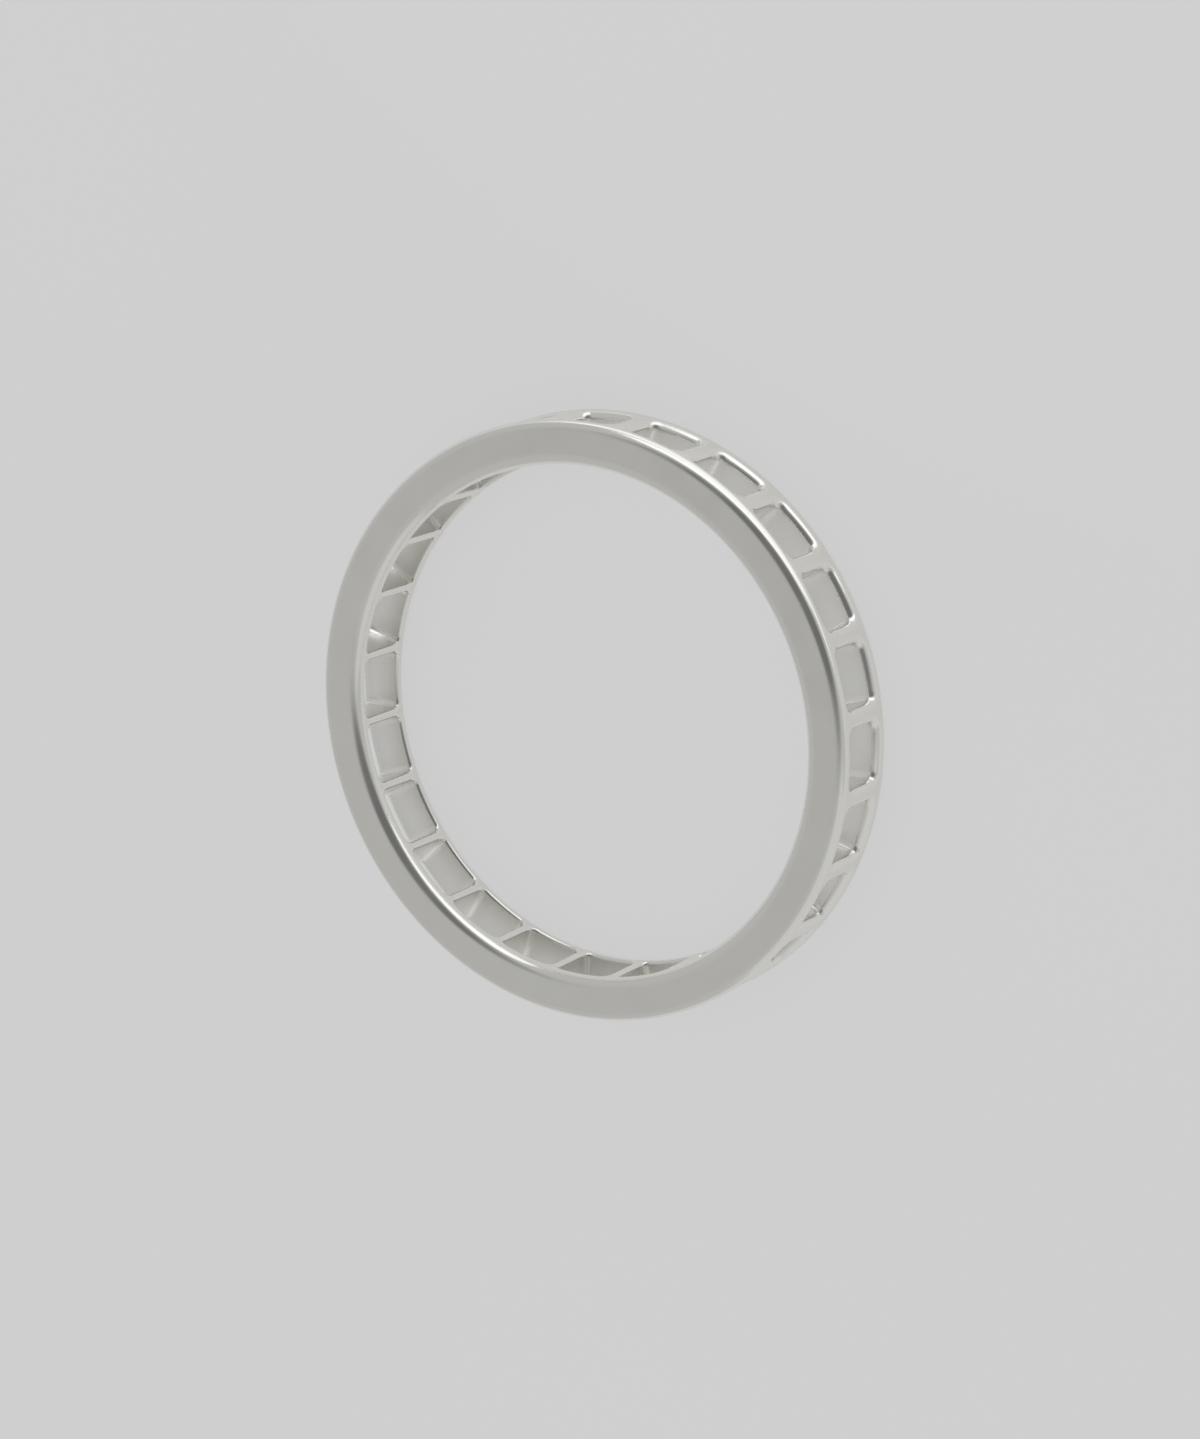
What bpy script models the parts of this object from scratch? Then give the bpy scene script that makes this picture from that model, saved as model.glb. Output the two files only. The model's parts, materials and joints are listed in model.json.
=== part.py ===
"""Pierced band ring: one piece of cast metal, a plain round band with square windows cut all round.

The ring lies on its side. The Z axis is the ring's own axis, the origin is the ring's centre on the
flat side face that it rests on, and the middle of one bar is over the +X axis. Units are metres.
"""

import math

import bmesh
import bpy
from mathutils import Matrix

BORE_DIAMETER = 0.0173
WALL_THICKNESS = 0.00148
BAND_WIDTH = 0.00294
OUTER_EDGE_ROUNDING = 0.00032
BORE_EDGE_ROUNDING = 0.00042

WINDOW_COUNT = 24
WINDOW_WIDTH_OUTSIDE = 0.00191
WINDOW_HEIGHT_OUTSIDE = 0.00171
WINDOW_WIDTH_AT_BORE = 0.00199
WINDOW_HEIGHT_AT_BORE = 0.00191
WINDOW_CORNER_RADIUS = 0.00025
OUTER_RIM_ROUNDING = 0.00024
BORE_RIM_ROUNDING = 0.00009

FACETS_PER_WINDOW = 3
ROUNDING_SEGMENTS = 3
RIM_ANGLE_LIMIT = math.radians(45)
CUTTER_OVERRUN = 0.0005
MERGE_DISTANCE = 0.00001

METAL_COLOR = (0.84, 0.83, 0.81, 1.0)
METAL_ROUGHNESS = 0.34

BORE_RADIUS = BORE_DIAMETER / 2
OUTER_RADIUS = BORE_RADIUS + WALL_THICKNESS
MIDDLE_RADIUS = BORE_RADIUS + WALL_THICKNESS / 2
WINDOW_PITCH = 2 * math.pi / WINDOW_COUNT


def clear_scene():
    """Remove what a new Blender file holds."""
    for thing in list(bpy.data.objects):
        bpy.data.objects.remove(thing, do_unlink=True)


def new_collection(name):
    """Add a collection to the scene."""
    collection = bpy.data.collections.new(name)
    bpy.context.scene.collection.children.link(collection)
    return collection


def satin_metal():
    """The ring's one metal: pale, a little warm, with a satin polish."""
    material = bpy.data.materials.new("satin_metal")
    material.use_nodes = True
    shader = material.node_tree.nodes["Principled BSDF"]
    shader.inputs["Base Color"].default_value = METAL_COLOR
    shader.inputs["Metallic"].default_value = 1.0
    shader.inputs["Roughness"].default_value = METAL_ROUGHNESS
    material.diffuse_color = METAL_COLOR
    return material


def corner_arc(centre_x, centre_z, radius, start_angle):
    """Points of a quarter circle that rounds one edge of the band, clockwise from start_angle."""
    points = []
    for step in range(ROUNDING_SEGMENTS + 1):
        angle = start_angle - math.pi / 2 * step / ROUNDING_SEGMENTS
        x = centre_x + radius * math.cos(angle)
        z = centre_z + radius * math.sin(angle)
        points.append((x, 0.0, z))
    return points


def band_profile():
    """The band's cross-section: a rectangle with rounded corners, down the outside, up the inside."""
    outer = OUTER_EDGE_ROUNDING
    inner = BORE_EDGE_ROUNDING
    outer_x = OUTER_RADIUS - outer
    inner_x = BORE_RADIUS + inner
    points = corner_arc(outer_x, BAND_WIDTH - outer, outer, math.pi / 2)
    points += corner_arc(outer_x, outer, outer, 0.0)
    points += corner_arc(inner_x, inner, inner, -math.pi / 2)
    points += corner_arc(inner_x, BAND_WIDTH - inner, inner, math.pi)
    return points


def make_band(collection, material):
    """Turn the cross-section round the Z axis with a Screw."""
    points = band_profile()
    edges = [(index, (index + 1) % len(points)) for index in range(len(points))]
    mesh = bpy.data.meshes.new("ring_band")
    mesh.from_pydata(points, edges, [])
    mesh.materials.append(material)
    band = bpy.data.objects.new("ring_band", mesh)
    collection.objects.link(band)
    turn = band.modifiers.new("turn", "SCREW")
    turn.axis = "Z"
    turn.angle = 2 * math.pi
    turn.steps = WINDOW_COUNT * FACETS_PER_WINDOW
    turn.render_steps = turn.steps
    turn.use_smooth_shade = True
    turn.use_merge_vertices = True
    turn.merge_threshold = MERGE_DISTANCE
    return band


def size_at(radius, outside, at_bore):
    """A window's size at a radius, going evenly from its size outside to its size at the bore."""
    return at_bore + (outside - at_bore) * (radius - BORE_RADIUS) / WALL_THICKNESS


def window_shape():
    """A square bar along +X that cuts one window: a little larger at the bore, its long edges rounded."""
    length = WALL_THICKNESS + 2 * CUTTER_OVERRUN
    shape = bmesh.new()
    bmesh.ops.create_cube(shape, size=1.0)
    for corner in shape.verts:
        radius = MIDDLE_RADIUS + corner.co.x * length
        width = size_at(radius, WINDOW_WIDTH_OUTSIDE, WINDOW_WIDTH_AT_BORE)
        height = size_at(radius, WINDOW_HEIGHT_OUTSIDE, WINDOW_HEIGHT_AT_BORE)
        corner.co = (radius, corner.co.y * width, BAND_WIDTH / 2 + corner.co.z * height)
    long_edges = [
        edge for edge in shape.edges
        if abs(edge.verts[0].co.x - edge.verts[1].co.x) > length / 2
    ]
    bmesh.ops.bevel(
        shape,
        geom=long_edges,
        offset=WINDOW_CORNER_RADIUS,
        offset_type="OFFSET",
        segments=ROUNDING_SEGMENTS,
        profile=0.5,
        affect="EDGES",
    )
    mesh = bpy.data.meshes.new("window_shape")
    shape.to_mesh(mesh)
    shape.free()
    mesh.shade_smooth()
    return mesh


def make_cutters(collection):
    """Place a cutter at every window, evenly round the band."""
    mesh = window_shape()
    for index in range(WINDOW_COUNT):
        cutter = bpy.data.objects.new(f"window_cutter_{index + 1:02d}", mesh)
        cutter.matrix_world = Matrix.Rotation(WINDOW_PITCH * (index + 0.5), 4, "Z")
        cutter.hide_render = True
        cutter.display_type = "WIRE"
        collection.objects.link(cutter)


def pierce(band, cutters):
    """Cut the windows through the band and keep the result as the band's own mesh."""
    cut = band.modifiers.new("cut", "BOOLEAN")
    cut.operation = "DIFFERENCE"
    cut.solver = "EXACT"
    cut.operand_type = "COLLECTION"
    cut.collection = cutters
    finished = band.evaluated_get(bpy.context.evaluated_depsgraph_get())
    mesh = bpy.data.meshes.new_from_object(finished)
    band.modifiers.clear()
    band.data = mesh


def rim_edges(shape, outside):
    """The sharp edges round the windows, either those outside or those at the bore."""
    edges = []
    for edge in shape.edges:
        middle = (edge.verts[0].co + edge.verts[1].co) / 2
        is_outside = middle.xy.length > MIDDLE_RADIUS
        if is_outside == outside and edge.calc_face_angle() > RIM_ANGLE_LIMIT:
            edges.append(edge)
    return edges


def round_rims(mesh):
    """Round the windows' rims, more outside than at the bore."""
    shape = bmesh.new()
    shape.from_mesh(mesh)
    for outside, rounding in ((True, OUTER_RIM_ROUNDING), (False, BORE_RIM_ROUNDING)):
        bmesh.ops.bevel(
            shape,
            geom=rim_edges(shape, outside),
            offset=rounding,
            offset_type="OFFSET",
            segments=ROUNDING_SEGMENTS,
            profile=0.5,
            affect="EDGES",
            clamp_overlap=False,
        )
    shape.to_mesh(mesh)
    shape.free()
    mesh.shade_smooth()


def build():
    """Build the ring."""
    clear_scene()
    parts = new_collection("square_window_ring")
    cutters = new_collection("cutters")
    band = make_band(parts, satin_metal())
    make_cutters(cutters)
    pierce(band, cutters)
    round_rims(band.data)


build()
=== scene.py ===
"""Looks of the square window ring: a plain round band of satin metal, pierced all round by windows.

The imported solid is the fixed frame. One piece, the cast band, stands for its one node and keeps its
sizes. The band lies on its side on a pale floor. Units are metres, and the Z axis is the ring's own.
"""

import json  # noqa: E402
import logging  # noqa: E402
import math  # noqa: E402
from dataclasses import dataclass  # noqa: E402
from enum import Enum  # noqa: E402

import bmesh  # noqa: E402
import bpy  # noqa: E402
import numpy as np  # noqa: E402
from mathutils import Matrix, Quaternion, Vector  # noqa: E402

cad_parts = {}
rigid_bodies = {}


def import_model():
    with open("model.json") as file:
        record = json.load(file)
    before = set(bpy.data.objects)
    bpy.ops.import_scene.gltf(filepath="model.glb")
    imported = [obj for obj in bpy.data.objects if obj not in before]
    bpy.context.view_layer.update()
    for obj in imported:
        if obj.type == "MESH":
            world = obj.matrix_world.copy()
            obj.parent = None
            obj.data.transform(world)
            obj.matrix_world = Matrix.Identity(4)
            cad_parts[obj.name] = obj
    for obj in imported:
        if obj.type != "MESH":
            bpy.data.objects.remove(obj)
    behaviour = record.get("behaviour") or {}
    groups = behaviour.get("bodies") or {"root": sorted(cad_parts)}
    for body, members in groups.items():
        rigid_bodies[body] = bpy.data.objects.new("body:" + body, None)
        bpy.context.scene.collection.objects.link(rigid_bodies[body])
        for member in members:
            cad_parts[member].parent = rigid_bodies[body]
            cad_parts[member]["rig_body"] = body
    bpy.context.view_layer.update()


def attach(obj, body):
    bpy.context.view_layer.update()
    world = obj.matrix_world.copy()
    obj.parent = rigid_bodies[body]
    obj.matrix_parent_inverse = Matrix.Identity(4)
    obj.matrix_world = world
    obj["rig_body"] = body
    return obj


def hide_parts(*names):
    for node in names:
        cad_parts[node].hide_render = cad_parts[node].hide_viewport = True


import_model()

MILLIMETRE = 0.001
WHITE = (1.0, 1.0, 1.0, 1.0)
BLACK = (0.0, 0.0, 0.0, 1.0)
LOG = logging.getLogger("square_window_ring")

Color = tuple[float, float, float, float]
MixPart = Color | float | bpy.types.NodeSocket


class Mixture(Enum):
    """What a mix in a material mixes."""

    COLOR = "RGBA"
    VALUE = "FLOAT"


def principled(
    name: str,
) -> tuple[bpy.types.Material, bpy.types.ShaderNodeTree, bpy.types.ShaderNode]:
    """Start a material.

    Args:
        name: the material's name.

    Returns:
        The material, its node tree and its Principled shader.
    """
    material = bpy.data.materials.new(name)
    material.use_nodes = True
    tree = material.node_tree
    return material, tree, tree.nodes["Principled BSDF"]


def own_mask(tree: bpy.types.ShaderNodeTree, name: str) -> bpy.types.NodeSocket:
    """Read one of the piece's own masks, from 0 to 1, by its attribute's name."""
    node = tree.nodes.new("ShaderNodeAttribute")
    node.attribute_name = name
    return node.outputs["Fac"]


def mix(
    tree: bpy.types.ShaderNodeTree,
    mixture: Mixture,
    factor: bpy.types.NodeSocket,
    start: MixPart,
    end: MixPart,
) -> bpy.types.NodeSocket:
    """Mix two colours or two values by a mask.

    Args:
        tree: the material's node tree.
        mixture: what is mixed.
        factor: the mask, 0 where the start is and 1 where the end is.
        start: a constant, or the socket that gives it.
        end: a constant, or the socket that gives it.

    Returns:
        The mixture's socket.
    """
    node = tree.nodes.new("ShaderNodeMix")
    node.data_type = mixture.value
    tree.links.new(factor, node.inputs["Factor"])
    for name, part in (("A", start), ("B", end)):
        if isinstance(part, bpy.types.NodeSocket):
            tree.links.new(part, node.inputs[name])
        else:
            node.inputs[name].default_value = part
    return node.outputs["Result"]


class Rim(Enum):
    """The two ends of a window, each with its own rounded rim."""

    OUTSIDE = 1
    BORE = -1


class SideFace(Enum):
    """The two flat side faces of the band, with the sign of their Z."""

    UPPER = 1
    LOWER = -1


@dataclass(frozen=True)
class WindowOutline:
    """Points round one window, and the point of its sector's border that each of them faces.

    The outline is a rounded square. A point at a distance from the wall is
    square * (half side - corner radius) + outward * (corner radius + distance).
    """

    square: np.ndarray
    outward: np.ndarray
    border: np.ndarray


@dataclass(frozen=True)
class BandSide:
    """One curved side of the band, its outside or its bore, with the windows' rims on it.

    The surface lies at the face's radius, moved into the metal by two quarter circles: the
    rounding of the band's edge, which goes by the height, and the rounding of the rim, which goes
    by the distance from the window's wall. Lengths are in millimetres.
    """

    rim: Rim
    face_radius: float
    edge_rounding: float
    half_width: float
    half_height: float
    rim_rounding: float

    @staticmethod
    def turned(distance: np.ndarray, size: float) -> np.ndarray:
        """Sine of the turn of a quarter circle: 1 at the distance 0, 0 from its size onwards."""
        return np.clip(1 - distance / size, 0.0, 1.0)

    def depth(self, distance: np.ndarray, size: float) -> np.ndarray:
        """Depth of a quarter circle below the face: size less the root of size² less what is left²."""
        return size * (1 - np.sqrt(1 - self.turned(distance, size) ** 2))

    def radius(self, to_wall: np.ndarray, to_end: np.ndarray) -> np.ndarray:
        """The surface's radius.

        Args:
            to_wall: distance from the window's wall.
            to_end: distance from the band's side face.

        Returns:
            The radius, smaller outside and larger at the bore where either edge is rounded.
        """
        rounded = self.depth(to_end, self.edge_rounding) + self.depth(to_wall, self.rim_rounding)
        return self.face_radius - self.rim.value * rounded

    def rounding(self, to_wall: np.ndarray, to_end: np.ndarray) -> np.ndarray:
        """Mask of the rounded edges: the sine of twice the turn, 1 where they are half turned."""
        turns = [self.turned(to_end, self.edge_rounding), self.turned(to_wall, self.rim_rounding)]
        return np.maximum(*[2 * turn * np.sqrt(1 - turn**2) for turn in turns])


@dataclass(frozen=True)
class SurfacePatch:
    """A grid of points on the band, given by radius, angle and height, with masks for the finish."""

    radius: np.ndarray
    angle: np.ndarray
    height: np.ndarray
    rounding: np.ndarray
    pocket: np.ndarray
    closed: bool
    flipped: bool

    def points(self) -> np.ndarray:
        """The grid as rows of x, y and z: the radius turned by the angle, and the height."""
        x = self.radius * np.cos(self.angle)
        y = self.radius * np.sin(self.angle)
        return np.stack([x, y, self.height], axis=-1).reshape(-1, 3)

    def quads(self) -> np.ndarray:
        """Four corners of each cell of the grid, for every sector at once."""
        sectors, rows, columns = self.radius.shape
        last = columns if self.closed else columns - 1
        sector, row, column = np.meshgrid(
            np.arange(sectors), np.arange(rows - 1), np.arange(last), indexing="ij"
        )
        after = (column + 1) % columns
        start = sector * rows * columns
        cells = np.stack(
            [
                start + row * columns + column,
                start + row * columns + after,
                start + (row + 1) * columns + after,
                start + (row + 1) * columns + column,
            ],
            axis=-1,
        ).reshape(-1, 4)
        return cells[:, ::-1] if self.flipped else cells


@dataclass(frozen=True)
class GrainEffect:
    """Fine grain and slow waves that cast, tumbled metal and pressed paper both have."""

    group_name: str = "fine_grain"
    wave_detail: float = 1.5
    grain_detail: float = 3.0

    def group(self) -> bpy.types.ShaderNodeTree:
        """Build the shared group once.

        Returns:
            A group that takes a vector, two scales and the share of grain. Its mask is the waves
            alone, and its height is the waves and the grain mixed by that share.
        """
        known = bpy.data.node_groups.get(self.group_name)
        if known is not None:
            return known
        tree = bpy.data.node_groups.new(self.group_name, "ShaderNodeTree")
        tree.interface.new_socket("Vector", in_out="INPUT", socket_type="NodeSocketVector")
        for name in ("Wave Scale", "Grain Scale", "Grain Share"):
            tree.interface.new_socket(name, in_out="INPUT", socket_type="NodeSocketFloat")
        tree.interface.new_socket("Mask", in_out="OUTPUT", socket_type="NodeSocketFloat")
        tree.interface.new_socket("Height", in_out="OUTPUT", socket_type="NodeSocketFloat")
        enter = tree.nodes.new("NodeGroupInput")
        leave = tree.nodes.new("NodeGroupOutput")
        waves = tree.nodes.new("ShaderNodeTexNoise")
        waves.inputs["Detail"].default_value = self.wave_detail
        grain = tree.nodes.new("ShaderNodeTexNoise")
        grain.inputs["Detail"].default_value = self.grain_detail
        blend = tree.nodes.new("ShaderNodeMix")
        blend.data_type = "FLOAT"
        link = tree.links.new
        link(enter.outputs["Vector"], waves.inputs["Vector"])
        link(enter.outputs["Vector"], grain.inputs["Vector"])
        link(enter.outputs["Wave Scale"], waves.inputs["Scale"])
        link(enter.outputs["Grain Scale"], grain.inputs["Scale"])
        link(enter.outputs["Grain Share"], blend.inputs["Factor"])
        link(waves.outputs["Fac"], blend.inputs["A"])
        link(grain.outputs["Fac"], blend.inputs["B"])
        link(blend.outputs["Result"], leave.inputs["Height"])
        link(waves.outputs["Fac"], leave.inputs["Mask"])
        return tree

    def add_to(
        self,
        tree: bpy.types.ShaderNodeTree,
        wave_scale: float,
        grain_scale: float,
        grain_share: float,
    ) -> bpy.types.ShaderNode:
        """Place the group in a material, read on Object coordinates.

        Args:
            tree: the material's node tree.
            wave_scale: the slow waves' scale, in waves a metre.
            grain_scale: the fine grain's scale, in grains a metre.
            grain_share: how much of the height is grain, from 0 to 1.

        Returns:
            The group's node, with the outputs Mask and Height.
        """
        place = tree.nodes.new("ShaderNodeTexCoord")
        node = tree.nodes.new("ShaderNodeGroup")
        node.node_tree = self.group()
        tree.links.new(place.outputs["Object"], node.inputs["Vector"])
        node.inputs["Wave Scale"].default_value = wave_scale
        node.inputs["Grain Scale"].default_value = grain_scale
        node.inputs["Grain Share"].default_value = grain_share
        return node

    def add_bump(
        self,
        tree: bpy.types.ShaderNodeTree,
        surface: bpy.types.ShaderNode,
        shader: bpy.types.ShaderNode,
        distance: float,
        strength: float,
    ) -> None:
        """Let the group's height turn the shader's normal.

        Args:
            tree: the material's node tree.
            surface: the group's node, as add_to gives it.
            shader: the material's Principled shader.
            distance: the height of the bump, in metres.
            strength: how much of the bump shows, from 0 to 1.
        """
        bump = tree.nodes.new("ShaderNodeBump")
        bump.inputs["Distance"].default_value = distance
        bump.inputs["Strength"].default_value = strength
        tree.links.new(surface.outputs["Height"], bump.inputs["Height"])
        tree.links.new(bump.outputs["Normal"], shader.inputs["Normal"])


@dataclass(frozen=True)
class SatinMetal:
    """The ring's one finish: cast metal with a satin polish, smoother where wear has rounded it. Its
    colour holds a painted highlight on the rounded edges and painted light in the pockets.
    """

    name: str = "satin_metal_painted_light"
    face_color: Color = (0.845, 0.835, 0.792, 1.0)
    # Painted light: the metal deep in the window pockets is made palest, so the pockets look brighter
    # than the light reaching them makes them.
    pocket_light_color: Color = (0.965, 0.958, 0.93, 1.0)
    # Painted highlight: the metal on the rounded edges and rims is made paler than the faces, so their
    # highlights look brighter.
    rim_highlight_color: Color = (0.88, 0.872, 0.838, 1.0)
    face_roughness: float = 0.34
    rim_roughness: float = 0.18
    roughness_spread: float = 0.05
    wave_low: float = 0.3
    wave_high: float = 0.7
    wave_scale: float = 900.0
    grain_scale: float = 40000.0
    grain_share: float = 0.35
    bump_distance: float = 0.000004
    bump_strength: float = 0.3

    def color(self, tree: bpy.types.ShaderNodeTree) -> bpy.types.NodeSocket:
        """The metal's colour: that of the faces, paler on the rounded edges as a painted highlight, and
        palest in the pockets as painted light.

        Args:
            tree: the material's node tree.

        Returns:
            The colour's socket.
        """
        rounding = own_mask(tree, "rounding")
        # Painted highlight on the rounded edges, then painted light in the pockets.
        painted_edge_highlight = mix(tree, Mixture.COLOR, rounding, self.face_color, self.rim_highlight_color)
        return mix(tree, Mixture.COLOR, own_mask(tree, "pocket"), painted_edge_highlight, self.pocket_light_color)

    def roughness(
        self, tree: bpy.types.ShaderNodeTree, surface: bpy.types.ShaderNode
    ) -> bpy.types.NodeSocket:
        """The metal's roughness: less on the rounded edges, which wear has smoothed, and a little more
        or less along the waves.

        Args:
            tree: the material's node tree.
            surface: the grain group's node.

        Returns:
            The roughness's socket.
        """
        rounding = own_mask(tree, "rounding")
        polish = mix(tree, Mixture.VALUE, rounding, self.face_roughness, self.rim_roughness)
        spread = tree.nodes.new("ShaderNodeMapRange")
        spread.inputs["From Min"].default_value = self.wave_low
        spread.inputs["From Max"].default_value = self.wave_high
        spread.inputs["To Min"].default_value = -self.roughness_spread
        spread.inputs["To Max"].default_value = self.roughness_spread
        tree.links.new(surface.outputs["Mask"], spread.inputs["Value"])
        total = tree.nodes.new("ShaderNodeMath")
        total.operation = "ADD"
        tree.links.new(polish, total.inputs[0])
        tree.links.new(spread.outputs["Result"], total.inputs[1])
        return total.outputs["Value"]

    def material(self, grain: GrainEffect) -> bpy.types.Material:
        """Build the material.

        Args:
            grain: the shared grain effect.

        Returns:
            A Principled material that reads the piece's own masks, rounding and pocket.
        """
        material, tree, shader = principled(self.name)
        shader.inputs["Metallic"].default_value = 1.0
        surface = grain.add_to(tree, self.wave_scale, self.grain_scale, self.grain_share)
        tree.links.new(self.color(tree), shader.inputs["Base Color"])
        tree.links.new(self.roughness(tree, surface), shader.inputs["Roughness"])
        grain.add_bump(tree, surface, shader, self.bump_distance, self.bump_strength)
        return material


@dataclass(frozen=True)
class PalePaper:
    """The floor's finish: plain pale paper with a faint tooth, lit from below as on a light table."""

    name: str = "pale_paper"
    color: Color = (0.11, 0.11, 0.11, 1.0)
    shade: Color = (0.1, 0.1, 0.1, 1.0)
    glow: float = 0.545
    roughness: float = 0.9
    gloss: float = 0.1
    wave_scale: float = 30.0
    grain_scale: float = 3000.0
    grain_share: float = 0.5
    bump_distance: float = 0.00001
    bump_strength: float = 0.2

    def material(self, grain: GrainEffect) -> bpy.types.Material:
        """Build the material.

        Args:
            grain: the shared grain effect.

        Returns:
            A matt Principled material.
        """
        material, tree, shader = principled(self.name)
        shader.inputs["Roughness"].default_value = self.roughness
        shader.inputs["Specular IOR Level"].default_value = self.gloss
        shader.inputs["Emission Color"].default_value = WHITE
        shader.inputs["Emission Strength"].default_value = self.glow
        surface = grain.add_to(tree, self.wave_scale, self.grain_scale, self.grain_share)
        tone = mix(tree, Mixture.COLOR, surface.outputs["Mask"], self.color, self.shade)
        tree.links.new(tone, shader.inputs["Base Color"])
        grain.add_bump(tree, surface, shader, self.bump_distance, self.bump_strength)
        return material


@dataclass(frozen=True)
class PiercedBand:
    """The cast band: a round band, its edges rounded, with a row of square windows cut through it.

    It is made of one sector a window. In a sector a closed grid runs from the sector's border over
    the outer face, down the rounded outer rim, through the window's wall, round the rim at the bore
    and out over the bore to the border again. Two strips carry the rest of the band's rounded edges
    and its side faces. Lengths are in millimetres until the mesh is made.
    """

    node: str = "ring_band"
    slot: str = "satin_metal"
    width: float = 2.94
    windows: int = 24
    corner_radius: float = 0.25
    outside: BandSide = BandSide(
        rim=Rim.OUTSIDE,
        face_radius=10.13,
        edge_rounding=0.32,
        half_width=0.955,
        half_height=0.855,
        rim_rounding=0.31,
    )
    bore: BandSide = BandSide(
        rim=Rim.BORE,
        face_radius=8.65,
        edge_rounding=0.42,
        half_width=0.995,
        half_height=0.955,
        rim_rounding=0.14,
    )
    pocket_depth: float = 0.5
    side_points: int = 10
    corner_points: int = 8
    rim_steps: int = 12
    edge_steps: int = 12
    face_shares: tuple[float, ...] = (0.12, 0.5, 1.0)
    face_passes: int = 3
    wall_shares: tuple[float, ...] = (0.03, 0.25, 0.5, 0.75, 0.97)
    side_shares: tuple[float, ...] = (0.04, 0.35, 0.65, 0.96)
    rim_share_kept: float = 0.93
    least_facing: float = 1e-6
    border_gap: float = 0.005
    border_decimals: int = 9
    weld_distance: float = 1e-7

    @property
    def half_sector(self) -> float:
        """Half of a sector's angle, in radians."""
        return math.pi / self.windows

    @property
    def border_height(self) -> float:
        """Height of a sector's border above the band's middle, beyond every rim and rounding's start."""
        rims = [side.half_height + side.rim_rounding for side in (self.outside, self.bore)]
        flats = [self.width / 2 - side.edge_rounding for side in (self.outside, self.bore)]
        return max(*rims, *flats) + self.border_gap

    def outline(self) -> WindowOutline:
        """Points round a window: four sides, each followed by its corner, turned in quarter turns.

        Along a side the square's point is (1, u) with u from -1 to 1 and it faces out along x. In a
        corner the square's point is (1, 1) and it faces out at the angle of the arc. The border's
        point runs up the sector's side and along its end, at an even pace.

        Returns:
            The outline, with 2 rows (x and z) in each of its arrays.
        """
        side = np.linspace(-1.0, 1.0, self.side_points, endpoint=False)
        arc = np.linspace(0.0, 1.0, self.corner_points, endpoint=False)
        angle = np.concatenate([0 * side, arc * math.pi / 2])
        square = np.stack([1 + 0 * angle, np.concatenate([side, 1 + 0 * arc])])
        outward = np.stack([np.cos(angle), np.sin(angle)])
        share = (self.outside.half_height - self.corner_radius) / self.border_height
        climb = np.clip(share + (1 - share) * 2 * arc, None, 1.0)
        back = np.clip(1 - (1 - share) * (2 * arc - 1), None, 1.0)
        border = np.stack([np.concatenate([1 + 0 * side, back]), np.concatenate([side * share, climb])])
        quarter = np.array([[0.0, -1.0], [1.0, 0.0]])
        turns = [np.linalg.matrix_power(quarter, turn) for turn in range(4)]
        return WindowOutline(
            square=np.concatenate([turn @ square for turn in turns], axis=1),
            outward=np.concatenate([turn @ outward for turn in turns], axis=1),
            border=np.concatenate([turn @ border for turn in turns], axis=1),
        )

    def wall_distance(self, side: BandSide, sideways: np.ndarray, height: np.ndarray) -> np.ndarray:
        """Distance from a window's wall: that from a rounded square, less than 0 inside it."""
        over_x = np.abs(sideways) - (side.half_width - self.corner_radius)
        over_z = np.abs(height) - (side.half_height - self.corner_radius)
        corner = np.hypot(np.maximum(over_x, 0), np.maximum(over_z, 0))
        return corner + np.minimum(np.maximum(over_x, over_z), 0) - self.corner_radius

    def rim_grid(self, side: BandSide, outline: WindowOutline) -> np.ndarray:
        """Rows over one rim, from the wall outwards.

        A row is at one turn of the rim's quarter circle. Where the next window's rim is so near
        that the two roundings meet, the circle stops short of the sector's border.

        Args:
            side: the side of the band.
            outline: the points round the window.

        Returns:
            Radius, angle, height and the two masks, stacked first, then rows, then points.
        """
        wall = outline.square * (
            np.array([[side.half_width], [side.half_height]]) - self.corner_radius
        ) + outline.outward * self.corner_radius
        edge = np.array([[side.face_radius * math.sin(self.half_sector)], [self.border_height]])
        facing = np.maximum(np.abs(outline.outward), self.least_facing)
        room = ((edge - np.abs(wall)) / facing).min(axis=0)
        size = side.rim_rounding
        reach = np.minimum(size, self.rim_share_kept * room)
        last = np.arcsin(np.clip(1 - reach / size, 0.0, 1.0))
        share = np.linspace(0.0, 1.0, self.rim_steps + 1)[:, None]
        turn = math.pi / 2 * (1 - share) + last * share
        away = size * (1 - np.sin(turn))
        sideways = wall[0] + outline.outward[0] * away
        height = wall[1] + outline.outward[1] * away
        to_end = self.width / 2 - np.abs(height)
        radius = side.radius(away, to_end)
        pocket = np.clip(side.depth(away, size) / self.pocket_depth, 0.0, 1.0)
        return np.stack(
            [radius, np.arcsin(sideways / radius), height, side.rounding(away, to_end), pocket]
        )

    def face_grid(
        self, side: BandSide, outline: WindowOutline, rim_end: np.ndarray
    ) -> np.ndarray:
        """Rows on one face, from the end of the rim to the sector's border.

        A point lies a share of the way from the rim's last point to the border's, at the radius
        that its own distance from the wall gives it. That distance depends on the radius in turn,
        so the two are worked out a few times over.

        Args:
            side: the side of the band.
            outline: the points round the window.
            rim_end: the last row of the rim.

        Returns:
            Values as rim_grid gives them.
        """
        share = np.array(self.face_shares)[:, None]
        angle = (1 - share) * rim_end[1] + share * outline.border[0] * self.half_sector
        height = (1 - share) * rim_end[2] + share * outline.border[1] * self.border_height
        to_end = self.width / 2 - np.abs(height)
        radius = np.full_like(angle, side.face_radius)
        for _ in range(self.face_passes):
            to_wall = self.wall_distance(side, radius * np.sin(angle), height)
            radius = side.radius(to_wall, to_end)
        return np.stack([radius, angle, height, side.rounding(to_wall, to_end), 0 * angle])

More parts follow.
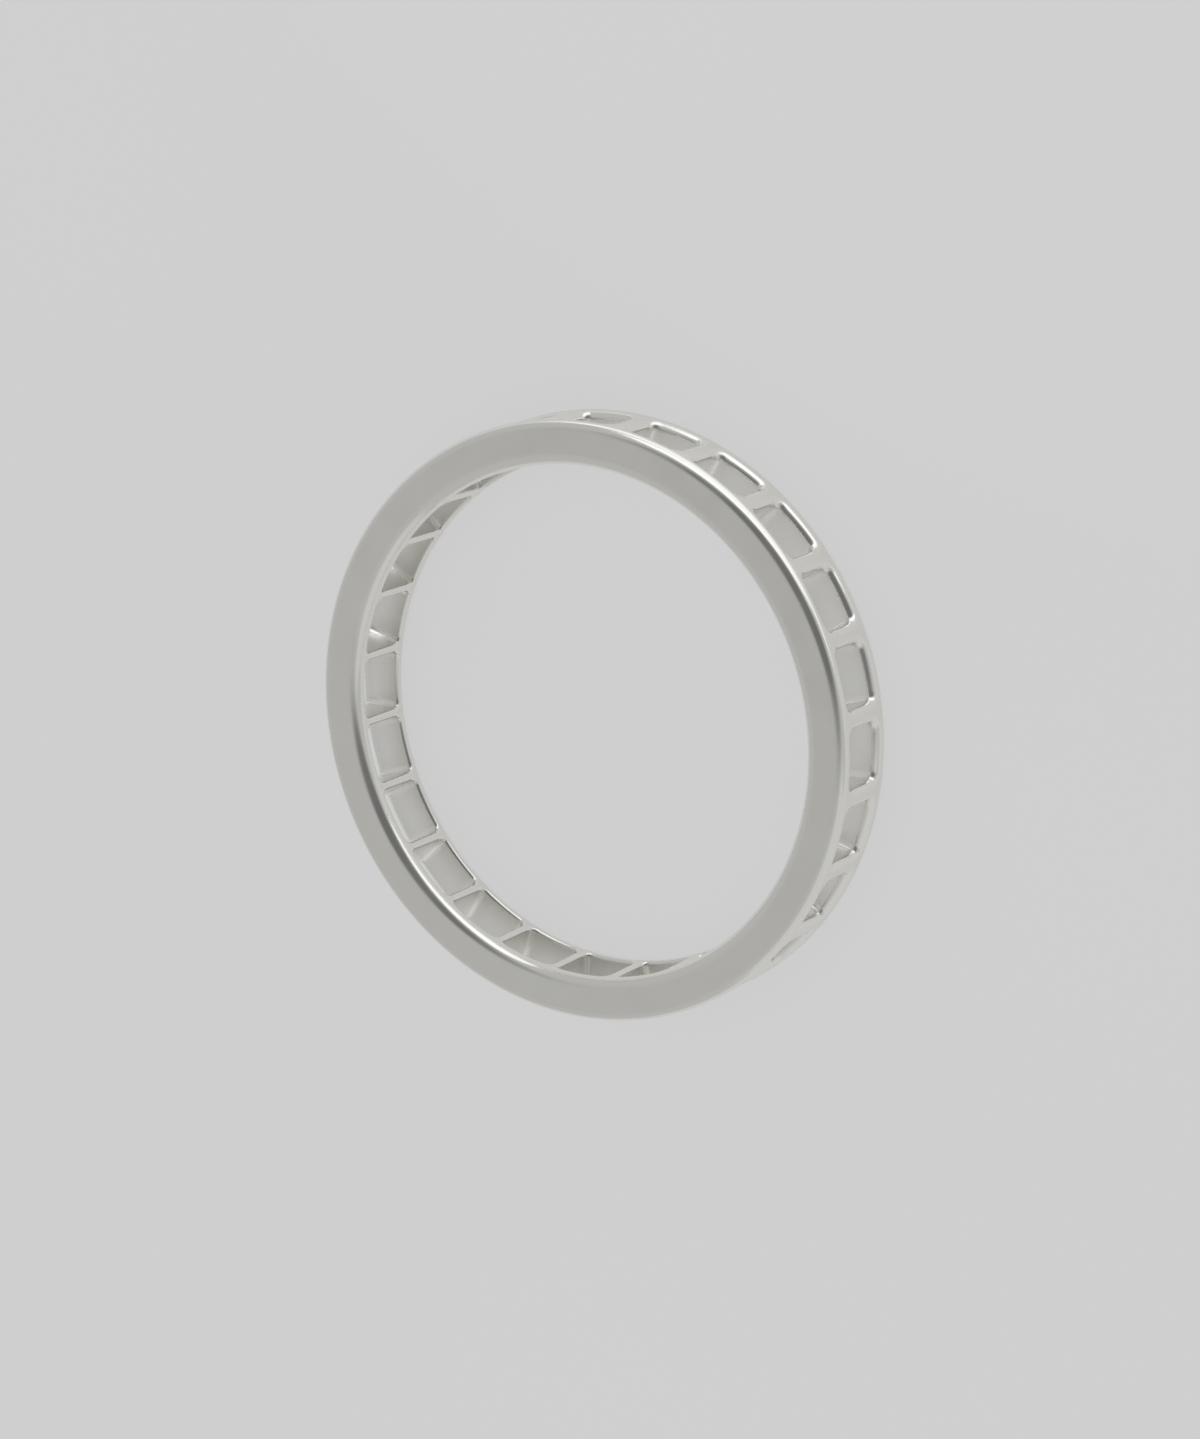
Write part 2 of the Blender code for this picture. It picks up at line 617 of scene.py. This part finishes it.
    def wall_grid(self, outline: WindowOutline, start: np.ndarray, end: np.ndarray) -> np.ndarray:
        """Rows down a window's wall, close together beside the rims.

        Radius, sideways distance and height go evenly from one rim to the other, so the walls are
        flat. The pocket's mask grows with the depth below the nearer face. The rounding's mask is
        1 in the middle of a rounded corner: twice the product of the two ways that it faces.

        Args:
            outline: the points round the window.
            start: the outer rim's row at the wall.
            end: the bore rim's row at the wall.

        Returns:
            Values as rim_grid gives them.
        """
        share = np.array(self.wall_shares)[:, None]
        radius, height = (start[row] + (end[row] - start[row]) * share for row in (0, 2))
        edges = [part[0] * np.sin(part[1]) for part in (start, end)]
        sideways = edges[0] + (edges[1] - edges[0]) * share
        depth = np.minimum(self.outside.face_radius - radius, radius - self.bore.face_radius)
        pocket = np.clip(depth / self.pocket_depth, 0.0, 1.0)
        corner = 2 * np.abs(outline.outward[0] * outline.outward[1]) + 0 * radius
        return np.stack([radius, np.arcsin(sideways / radius), height, corner, pocket])

    def window_patch(self) -> SurfacePatch:
        """The grid of all sectors' faces, rims and window walls.

        Two parameters give a point: the place round the window, and the row from the border
        through the window and back to the border.

        Returns:
            A closed patch for every sector.
        """
        outline = self.outline()
        rims = [self.rim_grid(side, outline) for side in (self.outside, self.bore)]
        faces = [
            self.face_grid(side, outline, rim[:, -1])
            for side, rim in zip((self.outside, self.bore), rims)
        ]
        rows = [
            faces[0][:, ::-1],
            rims[0][:, ::-1],
            self.wall_grid(outline, rims[0][:, 0], rims[1][:, 0]),
            rims[1],
            faces[1],
        ]
        return self.all_sectors(np.concatenate(rows, axis=1), closed=True, flipped=False)

    def edge_arc(self, side: BandSide) -> np.ndarray:
        """The rest of one rounded edge, from the border's height to the side face.

        Args:
            side: the side of the band.

        Returns:
            Radius, height above the band's middle and the rounding's mask, stacked, then points.
        """
        size = side.edge_rounding
        flat = self.width / 2 - size
        first = math.asin(min(max((self.border_height - flat) / size, 0.0), 1.0))
        turn = np.linspace(first, math.pi / 2, self.edge_steps + 1)
        radius = side.face_radius - side.rim.value * size * (1 - np.cos(turn))
        return np.stack([radius, flat + size * np.sin(turn), np.sin(2 * turn)])

    def edge_patch(self, face: SideFace) -> SurfacePatch:
        """The strips over one side face and its two rounded edges, a quarter circle each.

        Args:
            face: the upper or the lower side face.

        Returns:
            An open patch for every sector, whose columns meet the border's points.
        """
        border = self.outline().border
        on_end = np.isclose(border[1], 1.0)
        across = np.unique(border[0, on_end].round(self.border_decimals)) * self.half_sector
        arcs = [self.edge_arc(side) for side in (self.outside, self.bore)]
        share = np.array(self.side_shares)
        flat = arcs[0][0, -1] + (arcs[1][0, -1] - arcs[0][0, -1]) * share
        middle = np.stack([flat, 0 * flat + self.width / 2, 0 * flat])
        rows = np.concatenate([arcs[0], middle, arcs[1][:, ::-1]], axis=1)[:, :, None]
        radius, height, rounding = np.broadcast_to(rows, (3, rows.shape[1], len(across)))
        angle = np.broadcast_to(across, radius.shape)
        values = np.stack([radius, angle, face.value * height, rounding, 0 * radius])
        return self.all_sectors(values, closed=False, flipped=face is SideFace.LOWER)

    def all_sectors(self, values: np.ndarray, closed: bool, flipped: bool) -> SurfacePatch:
        """Repeat one sector's grid round the band.

        Args:
            values: radius, angle, height and the two masks of one sector.
            closed: whether the last column meets the first.
            flipped: whether the cells' corners run the other way round.

        Returns:
            The patch of every sector, standing on the floor.
        """
        shape = (self.windows, *values.shape[1:])
        middle = self.half_sector * (2 * np.arange(self.windows) + 1)
        return SurfacePatch(
            radius=np.broadcast_to(values[0], shape),
            angle=values[1] + middle[:, None, None],
            height=np.broadcast_to(values[2] + self.width / 2, shape),
            rounding=np.broadcast_to(values[3], shape),
            pocket=np.broadcast_to(values[4], shape),
            closed=closed,
            flipped=flipped,
        )

    def mesh(self) -> bpy.types.Mesh:
        """Join the patches in one closed mesh.

        Returns:
            The mesh, in metres, with its masks and smooth faces.
        """
        patches = [
            self.window_patch(),
            self.edge_patch(SideFace.UPPER),
            self.edge_patch(SideFace.LOWER),
        ]
        points = [patch.points() for patch in patches]
        starts = np.cumsum([0] + [len(part) for part in points])
        quads = np.concatenate([patch.quads() + start for patch, start in zip(patches, starts)])
        mesh = bpy.data.meshes.new("cast_band")
        mesh.from_pydata(np.concatenate(points) * MILLIMETRE, [], quads)
        for name in ("rounding", "pocket"):
            values = np.concatenate([getattr(patch, name).ravel() for patch in patches])
            layer = mesh.attributes.new(name, "FLOAT", "POINT")
            layer.data.foreach_set("value", values.astype(np.float32))
        welded = bmesh.new()
        welded.from_mesh(mesh)
        bmesh.ops.remove_doubles(welded, verts=welded.verts, dist=self.weld_distance)
        welded.to_mesh(mesh)
        welded.free()
        mesh.shade_smooth()
        return mesh

    def build(self, finish: SatinMetal, grain: GrainEffect) -> bpy.types.Object:
        """Make the piece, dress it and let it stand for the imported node.

        Args:
            finish: the metal's finish.
            grain: the shared grain effect.

        Returns:
            The band's object.
        """
        mesh = self.mesh()
        mesh.materials.append(finish.material(grain))
        piece = bpy.data.objects.new("cast_band", mesh)
        bpy.context.scene.collection.objects.link(piece)
        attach(piece, "root")
        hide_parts(self.node)
        return piece


@dataclass(frozen=True)
class PhotoCamera:
    """The camera at the photo's angle to the ring, which keeps the way the ring is turned in it."""

    azimuth_deg: float = -132.077
    elevation_deg: float = 55.72
    distance: float = 0.129836
    roll_deg: float = 111.421
    lens: float = 97.7435
    sensor_width: float = 36.0
    aim: tuple[float, float, float] = (0.0000163, 0.0001682, 0.0014561)
    clip_start: float = 0.001

    def axes(self) -> tuple[Vector, Vector, Vector]:
        """The camera's own right, up and back, in the row frame."""
        azimuth = math.radians(self.azimuth_deg)
        elevation = math.radians(self.elevation_deg)
        back = Vector(
            (
                math.sin(azimuth) * math.cos(elevation),
                -math.cos(azimuth) * math.cos(elevation),
                math.sin(elevation),
            )
        )
        level = Vector((0.0, 0.0, 1.0)).cross(back).normalized()
        steep = back.cross(level)
        roll = math.radians(self.roll_deg)
        up = math.cos(roll) * steep + math.sin(roll) * level
        return up.cross(back), up, back

    def direction(self, tilt_deg: float, clock_deg: float) -> Vector:
        """A direction given as the photo shows it.

        Args:
            tilt_deg: angle from the direction of the camera.
            clock_deg: 0 to the picture's right, 90 up, 180 left.

        Returns:
            The unit vector.
        """
        right, up, back = self.axes()
        tilt = math.radians(tilt_deg)
        clock = math.radians(clock_deg)
        side = math.cos(clock) * right + math.sin(clock) * up
        return math.cos(tilt) * back + math.sin(tilt) * side

    def build(self) -> bpy.types.Object:
        """Add the camera and make it the scene's.

        Returns:
            The camera's object.
        """
        right, up, back = self.axes()
        place = Vector(self.aim) + back * self.distance
        data = bpy.data.cameras.new("photo_camera")
        data.sensor_width = self.sensor_width
        data.lens = self.lens
        data.clip_start = self.clip_start
        camera = bpy.data.objects.new("photo_camera", data)
        bpy.context.scene.collection.objects.link(camera)
        turned = Matrix((right, up, back)).transposed().to_4x4()
        camera.matrix_world = Matrix.Translation(place) @ turned
        bpy.context.scene.camera = camera
        return camera


@dataclass(frozen=True)
class SoftPanel:
    """A soft box: a flat rectangular light that faces the ring."""

    name: str
    toward: Vector
    distance: float
    width: float
    height: float
    radiance: float
    turn_deg: float = 0.0
    in_reflections: bool = True

    def build(self) -> bpy.types.Object:
        """Add the light.

        Returns:
            The light's object. Its power gives the panel its radiance: power is radiance times
            area times pi.
        """
        data = bpy.data.lights.new(self.name, "AREA")
        data.shape = "RECTANGLE"
        data.size = self.width
        data.size_y = self.height
        data.energy = self.radiance * self.width * self.height * math.pi
        panel = bpy.data.objects.new(self.name, data)
        bpy.context.scene.collection.objects.link(panel)
        panel.location = self.toward * self.distance
        turn = Quaternion((0.0, 0.0, 1.0), math.radians(self.turn_deg))
        panel.rotation_euler = (self.toward.to_track_quat("Z", "Y") @ turn).to_euler()
        panel.visible_camera = False
        panel.visible_glossy = self.in_reflections
        return panel


@dataclass(frozen=True)
class SoftCard:
    """An oval grey card with a soft edge, which only reflections see."""

    name: str
    middle: Vector
    facing: Vector
    width: float
    height: float
    tone: float
    solid_share: float

    def material(self) -> bpy.types.Material:
        """The card's finish: an even grey that fades out from its middle part to its edge.

        Returns:
            A material whose alpha goes by the distance from the middle in the card's own UV map,
            which runs from -1 to 1 across it.
        """
        material, tree, shader = principled(self.name)
        shader.inputs["Base Color"].default_value = BLACK
        shader.inputs["Specular IOR Level"].default_value = 0.0
        shader.inputs["Emission Color"].default_value = WHITE
        shader.inputs["Emission Strength"].default_value = self.tone
        place = tree.nodes.new("ShaderNodeUVMap")
        place.uv_map = "across"
        reach = tree.nodes.new("ShaderNodeVectorMath")
        reach.operation = "LENGTH"
        tree.links.new(place.outputs["UV"], reach.inputs[0])
        fade = tree.nodes.new("ShaderNodeMapRange")
        fade.interpolation_type = "SMOOTHSTEP"
        fade.inputs["From Min"].default_value = self.solid_share
        fade.inputs["From Max"].default_value = 1.0
        fade.inputs["To Min"].default_value = 1.0
        fade.inputs["To Max"].default_value = 0.0
        tree.links.new(reach.outputs["Value"], fade.inputs["Value"])
        tree.links.new(fade.outputs["Result"], shader.inputs["Alpha"])
        return material

    def build(self, up: Vector) -> bpy.types.Object:
        """Add the card and hide it from the camera, from diffuse light and from shadows.

        Args:
            up: the direction that the card's height follows, as far as its own plane lets it.

        Returns:
            The card's object.
        """
        wide = up.cross(self.facing).normalized()
        high = self.facing.cross(wide)
        square = np.array([(-1.0, -1.0), (1.0, -1.0), (1.0, 1.0), (-1.0, 1.0)])
        axes = np.array([wide * self.width / 2, high * self.height / 2])
        mesh = bpy.data.meshes.new(self.name)
        mesh.from_pydata(square @ axes + np.array(self.middle), [], [(0, 1, 2, 3)])
        across = mesh.uv_layers.new(name="across")
        across.data.foreach_set("uv", square.astype(np.float32).ravel())
        mesh.materials.append(self.material())
        card = bpy.data.objects.new(self.name, mesh)
        bpy.context.scene.collection.objects.link(card)
        card.visible_camera = False
        card.visible_diffuse = False
        card.visible_shadow = False
        return card


@dataclass(frozen=True)
class Studio:
    """The floor, the lights, the cards and the world. Lengths are in metres, angles in degrees."""

    floor_half: float = 2.0
    sky: float = 0.50
    side_azimuth: float = 183.0
    side_elevation: float = 11.5
    fill_tilt: float = 66.0
    fill_clock: float = 290.0
    camera_card_tilt: float = 12.0
    camera_card_clock: float = 155.0
    camera_card_distance: float = 0.12
    floor_card_middle: tuple[float, float, float] = (-0.0355, 0.0, 0.00002)

    def floor(self, finish: PalePaper, grain: GrainEffect) -> bpy.types.Object:
        """Add the pale floor.

        Args:
            finish: the paper's finish.
            grain: the shared grain effect.

        Returns:
            The floor's object.
        """
        half = self.floor_half
        corners = [(-half, -half, 0.0), (half, -half, 0.0), (half, half, 0.0), (-half, half, 0.0)]
        mesh = bpy.data.meshes.new("floor")
        mesh.from_pydata(corners, [], [(0, 1, 2, 3)])
        mesh.materials.append(finish.material(grain))
        floor = bpy.data.objects.new("floor", mesh)
        bpy.context.scene.collection.objects.link(floor)
        return floor

    @staticmethod
    def level_direction(azimuth_deg: float, elevation_deg: float) -> Vector:
        """The unit vector at an angle round the Z axis from +X and an angle above the floor."""
        azimuth = math.radians(azimuth_deg)
        elevation = math.radians(elevation_deg)
        level = math.cos(elevation)
        return Vector((level * math.cos(azimuth), level * math.sin(azimuth), math.sin(elevation)))

    def world(self) -> bpy.types.World:
        """Fill the world with an even pale light."""
        world = bpy.data.worlds.new("pale_room")
        world.use_nodes = True
        background = world.node_tree.nodes["Background"]
        background.inputs["Color"].default_value = WHITE
        background.inputs["Strength"].default_value = self.sky
        bpy.context.scene.world = world
        return world

    def panels(self, camera: PhotoCamera) -> list[SoftPanel]:
        """The soft boxes.

        Args:
            camera: the camera whose view the fill box is placed by.

        Returns:
            A bright low box at the side, a faint one below the view, and an even one overhead that
            lights the floor alone.
        """
        return [
            SoftPanel(
                name="side_box",
                toward=self.level_direction(self.side_azimuth, self.side_elevation),
                distance=0.30,
                width=0.43,
                height=0.17,
                radiance=0.71,
                turn_deg=19.0,
            ),
            SoftPanel(
                name="fill_box",
                toward=camera.direction(self.fill_tilt, self.fill_clock),
                distance=0.30,
                width=0.34,
                height=0.30,
                radiance=0.12,
            ),
            SoftPanel(
                name="top_box",
                toward=Vector((0.0, 0.0, 1.0)),
                distance=0.60,
                width=0.60,
                height=0.60,
                radiance=0.9,
                in_reflections=False,
            ),
        ]

    def camera_card(self, camera: PhotoCamera) -> bpy.types.Object:
        """Add the dark card beside the camera, which the flat side face reflects."""
        beside = camera.direction(self.camera_card_tilt, self.camera_card_clock)
        card = SoftCard(
            name="camera_card",
            middle=beside * self.camera_card_distance,
            facing=beside,
            width=0.30,
            height=0.19,
            tone=0.16,
            solid_share=0.45,
        )
        return card.build(camera.axes()[1])

    def floor_card(self) -> bpy.types.Object:
        """Add the bright card on the floor, which the rounded rims reflect."""
        card = SoftCard(
            name="floor_card",
            middle=Vector(self.floor_card_middle),
            facing=Vector((0.0, 0.0, 1.0)),
            width=0.080,
            height=0.048,
            tone=1.1,
            solid_share=0.85,
        )
        return card.build(Vector((1.0, 0.0, 0.0)))

    def lights(self, camera: PhotoCamera) -> list[bpy.types.Object]:
        """Add the soft boxes and the two cards.

        Args:
            camera: the camera whose view they are placed by.

        Returns:
            Their objects.
        """
        boxes = [panel.build() for panel in self.panels(camera)]
        return boxes + [self.camera_card(camera), self.floor_card()]


def main() -> None:
    """Build the ring, the floor, the lights and the camera, and report each piece."""
    logging.basicConfig(level=logging.INFO, format="%(message)s")
    for thing in list(bpy.data.objects):
        if "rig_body" not in thing and not thing.name.startswith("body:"):
            bpy.data.objects.remove(thing, do_unlink=True)
    grain = GrainEffect()
    camera = PhotoCamera()
    studio = Studio()
    band = PiercedBand().build(SatinMetal(), grain)
    LOG.info("%s: %d faces", band.name, len(band.data.polygons))
    floor = studio.floor(PalePaper(), grain)
    LOG.info("%s: %.1f m wide", floor.name, 2 * studio.floor_half)
    studio.world()
    for light in studio.lights(camera):
        LOG.info("%s at %s", light.name, [round(value, 3) for value in light.location])
    LOG.info("%s: lens %.1f mm", camera.build().name, camera.lens)
    bpy.context.scene.view_settings.view_transform = "Standard"


if __name__ == "__main__":
    main()
